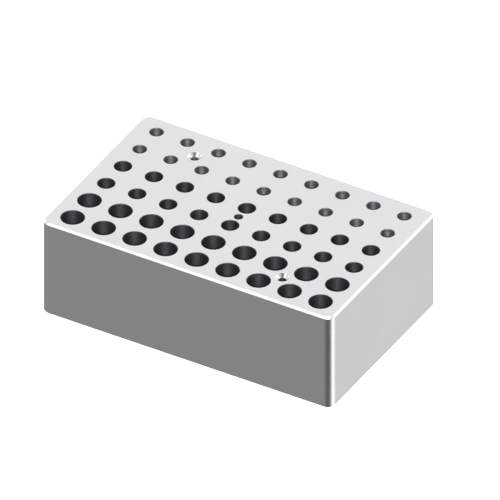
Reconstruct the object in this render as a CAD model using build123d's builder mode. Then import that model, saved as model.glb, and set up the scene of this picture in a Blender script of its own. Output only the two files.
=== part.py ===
from build123d import *
import os
from math import cos, radians, sin, tan

# Interchangeable heating block of a dry block heater, machined from one aluminium billet.
# Millimetres, +Z up, with the origin at the middle of the underside. The long side lies
# along X. The wells stand in rows along X: two rows of large wells at the front (-Y), two
# of medium ones in the middle and two of small ones at the back.

# Billet
block_height = 50.0
corner_radius = 4.0  # upright edges
edge_chamfer = 0.9  # round the top and the underside

# Grid of wells, centred on the block
columns = 9
rows_per_size = 2
column_pitch = 16.0
row_pitch = 15.0
end_margin = 11.0  # from the middles of the end wells to the end of the block
side_margin = 9.75  # from the middles of the outer rows to the side of the block

# Wells, from the front to the back: for 1.5 ml, 0.5 ml and 0.2 ml tubes. Each is a straight
# bore, then a taper that leans by taper_angle from the axis, and a round end. The small
# one tapers almost from its mouth.
large = {"diameter": 10.6, "straight_depth": 20.0, "taper_angle": 12.0, "end_radius": 2.0}
medium = {"diameter": 7.8, "straight_depth": 14.0, "taper_angle": 10.5, "end_radius": 1.6}
small = {"diameter": 6.1, "straight_depth": 1.0, "taper_angle": 8.75, "end_radius": 1.3}
well_sizes = [large, medium, small]
mouth_chamfer = 0.3  # takes the burr off each well

# Hole in the middle for the lifting handle, tapped M4
lift_tap_diameter = 3.3
lift_mouth_diameter = 4.3
lift_depth = 14.0
drill_point_angle = 118.0

# Two through holes for the M3 countersunk screws that hold the block down, each midway
# between four wells and the same distance from the middle
screw_hole_diameter = 3.4
screw_head_diameter = 6.4
countersink_angle = 90.0
screw_columns = 2.5  # from the middle of the grid
screw_rows = 2.0

# Worked out from the above
rows = rows_per_size * len(well_sizes)
block_length = (columns - 1) * column_pitch + 2 * end_margin
block_width = (rows - 1) * row_pitch + 2 * side_margin
screw_x = screw_columns * column_pitch
screw_y = screw_rows * row_pitch


def well_space(diameter, straight_depth, taper_angle, end_radius):
    """The space that one well takes up, with the middle of its mouth at the origin."""
    radius = diameter / 2
    lean = radians(taper_angle)
    taper_depth = (radius - end_radius * cos(lean)) / tan(lean)
    end_centre = (0, end_radius * sin(lean) - taper_depth - straight_depth)
    with BuildPart() as space:
        with BuildSketch(Plane.XZ):
            with BuildLine():
                round_end = CenterArc(end_centre, end_radius, -90, 90 - taper_angle)
                Polyline(
                    round_end @ 1,
                    (radius, -straight_depth),
                    (radius, -mouth_chamfer),
                    (radius + mouth_chamfer, 0),
                    (0, 0),
                    round_end @ 0,
                )
            make_face()
        revolve(axis=Axis.Z)
    return space.part


with BuildPart() as heating_block:
    with BuildSketch():
        RectangleRounded(block_length, block_width, corner_radius)
    extrude(amount=block_height)
    chamfer(heating_block.faces().filter_by(Axis.Z).edges(), edge_chamfer)

    for number, size in enumerate(well_sizes):
        middle_row = number * rows_per_size + (rows_per_size - 1) / 2
        y = (middle_row - (rows - 1) / 2) * row_pitch
        with Locations((0, y, block_height)):
            with GridLocations(column_pitch, row_pitch, columns, rows_per_size):
                add(well_space(**size), mode=Mode.SUBTRACT)

    with Locations((-screw_x, screw_y, block_height), (screw_x, -screw_y, block_height)):
        CounterSinkHole(
            screw_hole_diameter / 2,
            screw_head_diameter / 2,
            counter_sink_angle=countersink_angle,
        )

    with Locations((0, 0, block_height)):
        CounterSinkHole(
            lift_tap_diameter / 2,
            lift_mouth_diameter / 2,
            depth=lift_depth,
            counter_sink_angle=countersink_angle,
        )
    with Locations((0, 0, block_height - lift_depth)):
        Cone(
            bottom_radius=0,
            top_radius=lift_tap_diameter / 2,
            height=lift_tap_diameter / 2 / tan(radians(drill_point_angle / 2)),
            align=(Align.CENTER, Align.CENTER, Align.MAX),
            mode=Mode.SUBTRACT,
        )

heating_block.part.label = "heating_block"

os.makedirs("parts", exist_ok=True)
export_step(heating_block.part, "parts/heating_block.step")
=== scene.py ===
from math import cos, radians, sin, tau

import bpy
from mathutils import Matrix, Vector


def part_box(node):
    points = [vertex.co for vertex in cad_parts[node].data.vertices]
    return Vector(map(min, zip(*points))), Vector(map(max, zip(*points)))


# The bare heating block of a dry block heater: one aluminium billet, milled, bored, fine
# blasted and clear anodised. It comes whole from the CAD frame and gets its finish here.

MM = 0.001

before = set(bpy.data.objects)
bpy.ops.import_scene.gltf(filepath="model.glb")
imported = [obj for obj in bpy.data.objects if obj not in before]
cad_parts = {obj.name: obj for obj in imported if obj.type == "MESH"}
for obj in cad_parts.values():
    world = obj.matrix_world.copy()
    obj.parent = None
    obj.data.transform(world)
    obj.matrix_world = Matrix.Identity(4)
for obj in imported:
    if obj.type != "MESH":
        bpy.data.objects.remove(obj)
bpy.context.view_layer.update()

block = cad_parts["heating_block"]
block_low, block_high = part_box("heating_block")

# Zones of the block, in millimetres
OUTER_WALL = 3.5  # in from the sides, where no well has begun yet
SHALLOW_FROM = 15.0  # the small wells lie behind this, and their walls get a lighter painted shade
RIM_START = 0.01  # below the top face, on the chamfer round each mouth
FLOOR_END = 0.1  # above the underside
SEAT_X, SEAT_Y = 40.0, 30.0  # of the countersinks, on one diagonal
SEAT_REACH = 3.5  # a little over their radius

# Upward part of the normal on a 45 degree cut that faces up, with room on either side
CUT_LEAN = (0.45, 0.9)

# Finish, in millimetres
BLAST_GRAIN = 0.5  # grit marks are 0.1 wide, drawn coarser so that they show
BLAST_DEPTH = 0.01
CLOUD_SIZE = 22.0  # slow changes in the anodising
TOOL_RING = 0.6  # feed marks are 0.15 apart, drawn coarser so that they show
TOOL_RING_DEPTH = 0.14  # much deeper than real ones, to spread the light up and down the wall
WAVE_PERIOD = tau / 20  # of the wave texture at a scale of 1

# Roughness
BLASTED_ROUGHNESS = (0.30, 0.42)
BORED_ROUGHNESS = (0.52, 0.64)
SEAT_ROUGHNESS = 0.15  # the countersinks are cut last, and stay smooth

# View
VIEW_AZIMUTH = 30.0
VIEW_ELEVATION = 36.0
VIEW_WIDTH = 223.6 * MM
VIEW_DISTANCE = 1.0
VIEW_CENTRE = Vector((8.8 * MM, -5.0 * MM, block_high.z - 12.0 * MM))

# Soft lights round the block: azimuth and elevation of the middle, angle from there to the
# start and the end of the soft edge, and strength. The places were chosen. The
# strengths were fitted to the wanted brightness of each face by least squares, outside this
# script, and five of them were then adjusted.
SOFT_LIGHTS = {
    "overhead": (0, 90, 10, 40, 0.48),
    "right, high": (90, 30, 10, 40, 0.78),
    "right, low": (97, -34, 8, 28, 0.98),
    "right, wide": (105, -28, 10, 40, 0.20),
    "right back, low": (120, -36, 8, 28, 0.55),
    "back right, high": (140, 26, 8, 28, 0.38),
    "back right": (150, 20, 10, 40, 1.05),
    "back right, low": (152, -34, 10, 35, 0.11),
    "back, low": (180, -20, 15, 50, 0.49),
    "back left, high": (210, 36, 12, 48, 0.55),
    "left back": (240, 10, 15, 50, 0.76),
    "left, high": (270, 40, 15, 50, 0.33),
    "left": (270, 0, 20, 60, 0.26),
    "front left, high": (-35, 45, 8, 30, 1.20),
    "front left, low": (-30, -10, 15, 50, 0.27),
}
FILL_LIGHT = 0.04

TABLE_SIZE = 6.0
TABLE_GLOW = 0.35

# Lamp just below the lens, which looks into the wells: elevation, width and strength
LENS_LAMP = (34.0, 8.0, 4.5)


def linear(hex_colour):
    """A linear colour from an sRGB hex value."""
    channels = [int(hex_colour[i : i + 2], 16) / 255 for i in (1, 3, 5)]
    curve = [c / 12.92 if c <= 0.04045 else ((c + 0.055) / 1.055) ** 2.4 for c in channels]
    return (*curve, 1.0)


def direction(azimuth, elevation):
    """A unit vector towards a place round the block. Azimuth 0 is the front, 90 the right."""
    around, up = radians(azimuth), radians(elevation)
    return Vector((sin(around) * cos(up), -cos(around) * cos(up), sin(up)))


def add_node(tree, kind, inputs=None, **settings):
    """Adds a node with its settings. Its inputs are values, sockets, or nodes, whose first
    output in use is meant."""
    node = tree.nodes.new("ShaderNode" + kind)
    for name, value in settings.items():
        setattr(node, name, value)
    for name, value in (inputs or {}).items():
        if isinstance(value, bpy.types.Node):
            value = next(output for output in value.outputs if output.enabled)
        if isinstance(value, bpy.types.NodeSocket):
            tree.links.new(value, node.inputs[name])
        else:
            node.inputs[name].default_value = value
    return node


def new_tree(owner):
    """Gives a material or a world an empty node tree."""
    owner.use_nodes = True
    owner.node_tree.nodes.clear()
    return owner.node_tree


def zone(tree, spans, leave_out=0.0):
    """1 where every value lies in its span, from low to high, and leave_out is 0."""
    mask = add_node(tree, "Math", {0: 1.0, 1: leave_out}, operation="SUBTRACT")
    for value, low, high in spans:
        inside = add_node(
            tree,
            "Math",
            {0: value, 1: (low + high) / 2, 2: (high - low) / 2},
            operation="COMPARE",
        )
        mask = add_node(tree, "Math", {0: mask, 1: inside}, operation="MULTIPLY")
    return mask


def machined_zones(tree, place, normal):
    """Three masks: the bored walls of the wells and holes with their rims, which get a painted
    shade, the chamfer round the top, which gets a painted highlight, and the seats of the
    countersunk screws."""
    length, width, height = (block_high - block_low) / MM
    off_centre = add_node(tree, "VectorMath", {0: place}, operation="ABSOLUTE")
    x, y, z = add_node(tree, "SeparateXYZ", {0: off_centre}).outputs
    lean = add_node(tree, "SeparateXYZ", {0: normal}).outputs["Z"]
    slanted = (lean, *CUT_LEAN)

    field = [(x, 0.0, length / 2 - OUTER_WALL), (y, 0.0, width / 2 - OUTER_WALL)]
    seats = zone(
        tree,
        [
            slanted,
            (x, SEAT_X - SEAT_REACH, SEAT_X + SEAT_REACH),
            (y, SEAT_Y - SEAT_REACH, SEAT_Y + SEAT_REACH),
        ],
    )
    # Mask for the painted highlight on the chamfer round the top
    chamfer_highlight_mask = zone(tree, [slanted], leave_out=zone(tree, field))
    # The bored mask also carries the painted shade on the walls of the wells and holes
    bored = zone(tree, [*field, (z, FLOOR_END, height - RIM_START)], leave_out=seats)
    return bored, chamfer_highlight_mask, seats


def blasted_anodised_aluminium():
    """Aluminium, milled and fine blasted, then clear anodised. The blasting leaves an even
    satin grain. The chamfer round the top is painted lighter, a painted highlight, and the
    countersinks are smooth. The bored walls carry rings from the drill, and are painted
    darker than bare metal, a painted shade so that the wells look deep; the small wells get a
    lighter painted shade."""
    material = bpy.data.materials.new("blasted_anodised_aluminium")
    tree = new_tree(material)
    coordinates = add_node(tree, "TexCoord")
    place = add_node(
        tree, "VectorMath", {0: coordinates.outputs["Object"], "Scale": 1 / MM}, operation="SCALE"
    )
    bored, chamfer_highlight_mask, seats = machined_zones(tree, place, coordinates.outputs["Normal"])
    grain = add_node(tree, "TexNoise", {"Vector": place, "Scale": 1 / BLAST_GRAIN, "Detail": 2.0})
    cloud = add_node(tree, "TexNoise", {"Vector": place, "Scale": 1 / CLOUD_SIZE, "Detail": 3.0})
    rings = add_node(
        tree,
        "TexWave",
        {"Vector": place, "Scale": WAVE_PERIOD / TOOL_RING, "Distortion": 0.6},
        bands_direction="Z",
    )

    outside = add_node(
        tree,
        "Mix",
        {"Factor": cloud, "A": linear("#e3e4e5"), "B": linear("#ececed")},
        data_type="RGBA",
    )
    # The chamfer round the top is painted lighter: a painted highlight
    with_chamfer_highlight = add_node(
        tree, "Mix", {"Factor": chamfer_highlight_mask, "A": outside, "B": linear("#f0f0f1")}, data_type="RGBA"
    )
    y = add_node(tree, "SeparateXYZ", {0: place}).outputs["Y"]
    shallow = add_node(tree, "Math", {0: y, 1: SHALLOW_FROM}, operation="GREATER_THAN")
    # Painted shade on the bored walls: dark in the deep wells, lighter in the small wells
    painted_shade_wall = add_node(
        tree,
        "Mix",
        {"Factor": shallow, "A": linear("#454648"), "B": linear("#6a6b6d")},
        data_type="RGBA",
    )
    colour = add_node(tree, "Mix", {"Factor": bored, "A": with_chamfer_highlight, "B": painted_shade_wall}, data_type="RGBA")

    smoothest, roughest = BLASTED_ROUGHNESS
    outside_rough = add_node(
        tree, "MapRange", {"Value": grain, "To Min": smoothest, "To Max": roughest}
    )
    cut_rough = add_node(
        tree, "Mix", {"Factor": seats, "A": outside_rough, "B": SEAT_ROUGHNESS}, data_type="FLOAT"
    )
    smoothest, roughest = BORED_ROUGHNESS
    bored_rough = add_node(
        tree, "MapRange", {"Value": rings, "To Min": smoothest, "To Max": roughest}
    )
    roughness = add_node(
        tree, "Mix", {"Factor": bored, "A": cut_rough, "B": bored_rough}, data_type="FLOAT"
    )

    blast_relief = add_node(
        tree, "Bump", {"Height": grain, "Distance": BLAST_DEPTH * MM, "Strength": 0.35}
    )
    ring_height = add_node(tree, "Math", {0: rings, 1: bored}, operation="MULTIPLY")
    relief = add_node(
        tree,
        "Bump",
        {
            "Height": ring_height,
            "Distance": TOOL_RING_DEPTH * MM,
            "Strength": 0.9,
            "Normal": blast_relief,
        },
    )
    shader = add_node(
        tree,
        "BsdfPrincipled",
        {"Base Color": colour, "Metallic": 1.0, "Roughness": roughness, "Normal": relief},
    )
    add_node(tree, "OutputMaterial", {"Surface": shader})
    return material


def light_table():
    """Pale, faintly glowing matt table under the block. Only the camera sees it, so the metal
    mirrors the soft lights and not the table."""
    bpy.ops.mesh.primitive_plane_add(size=TABLE_SIZE, location=(0, 0, block_low.z))
    table = bpy.context.object
    table.name = "light_table"
    material = bpy.data.materials.new("pale_acrylic")
    tree = new_tree(material)
    board = add_node(tree, "BsdfDiffuse", {"Color": linear("#fafafa")})
    glow = add_node(tree, "Emission", {"Color": linear("#ffffff"), "Strength": TABLE_GLOW})
    both = add_node(tree, "AddShader", {0: board, 1: glow})
    add_node(tree, "OutputMaterial", {"Surface": both})
    table.data.materials.append(material)
    table.visible_glossy = False
    table.visible_diffuse = False
    table.visible_shadow = False


def soft_studio_light():
    """One world that holds every soft light, white where the camera looks past the table."""
    world = bpy.data.worlds.new("soft_studio")
    bpy.context.scene.world = world
    tree = new_tree(world)
    towards = add_node(tree, "TexCoord").outputs["Generated"]
    total = FILL_LIGHT
    for azimuth, elevation, full, edge, strength in SOFT_LIGHTS.values():
        facing = add_node(
            tree,
            "VectorMath",
            {0: towards, 1: direction(azimuth, elevation)},
            operation="DOT_PRODUCT",
        )
        light = add_node(
            tree,
            "MapRange",
            {
                "Value": facing.outputs["Value"],
                "From Min": cos(radians(edge)),
                "From Max": cos(radians(full)),
                "To Max": strength,
            },
            interpolation_type="SMOOTHSTEP",
        )
        total = add_node(tree, "Math", {0: light, 1: total}, operation="ADD")
    lights = add_node(tree, "Background", {"Color": linear("#ffffff"), "Strength": total})
    backdrop = add_node(tree, "Background", {"Color": linear("#ffffff"), "Strength": 1.0})
    seen = add_node(tree, "LightPath").outputs["Is Camera Ray"]
    world_shader = add_node(tree, "MixShader", {0: seen, 1: lights, 2: backdrop})
    add_node(tree, "OutputWorld", {"Surface": world_shader})


def lens_lamp():
    """A round lamp just below the lens. It lights the walls of the wells that face it."""
    elevation, lamp_width, strength = LENS_LAMP
    data = bpy.data.lights.new("lens_lamp", "SUN")
    data.angle = radians(lamp_width)
    data.energy = strength
    lamp = bpy.data.objects.new("lens_lamp", data)
    bpy.context.scene.collection.objects.link(lamp)
    lamp.rotation_euler = (radians(90 - elevation), 0, radians(VIEW_AZIMUTH))


def view_camera():
    """Long-lens view from the front right and above, with no perspective."""
    data = bpy.data.cameras.new("view_camera")
    data.type = "ORTHO"
    data.ortho_scale = VIEW_WIDTH
    camera = bpy.data.objects.new("view_camera", data)
    bpy.context.scene.collection.objects.link(camera)
    camera.location = VIEW_CENTRE + direction(VIEW_AZIMUTH, VIEW_ELEVATION) * VIEW_DISTANCE
    camera.rotation_euler = (radians(90 - VIEW_ELEVATION), 0, radians(VIEW_AZIMUTH))
    bpy.context.scene.camera = camera


block.material_slots[0].material = blasted_anodised_aluminium()
light_table()
soft_studio_light()
lens_lamp()
view_camera()
bpy.context.scene.view_settings.view_transform = "Standard"
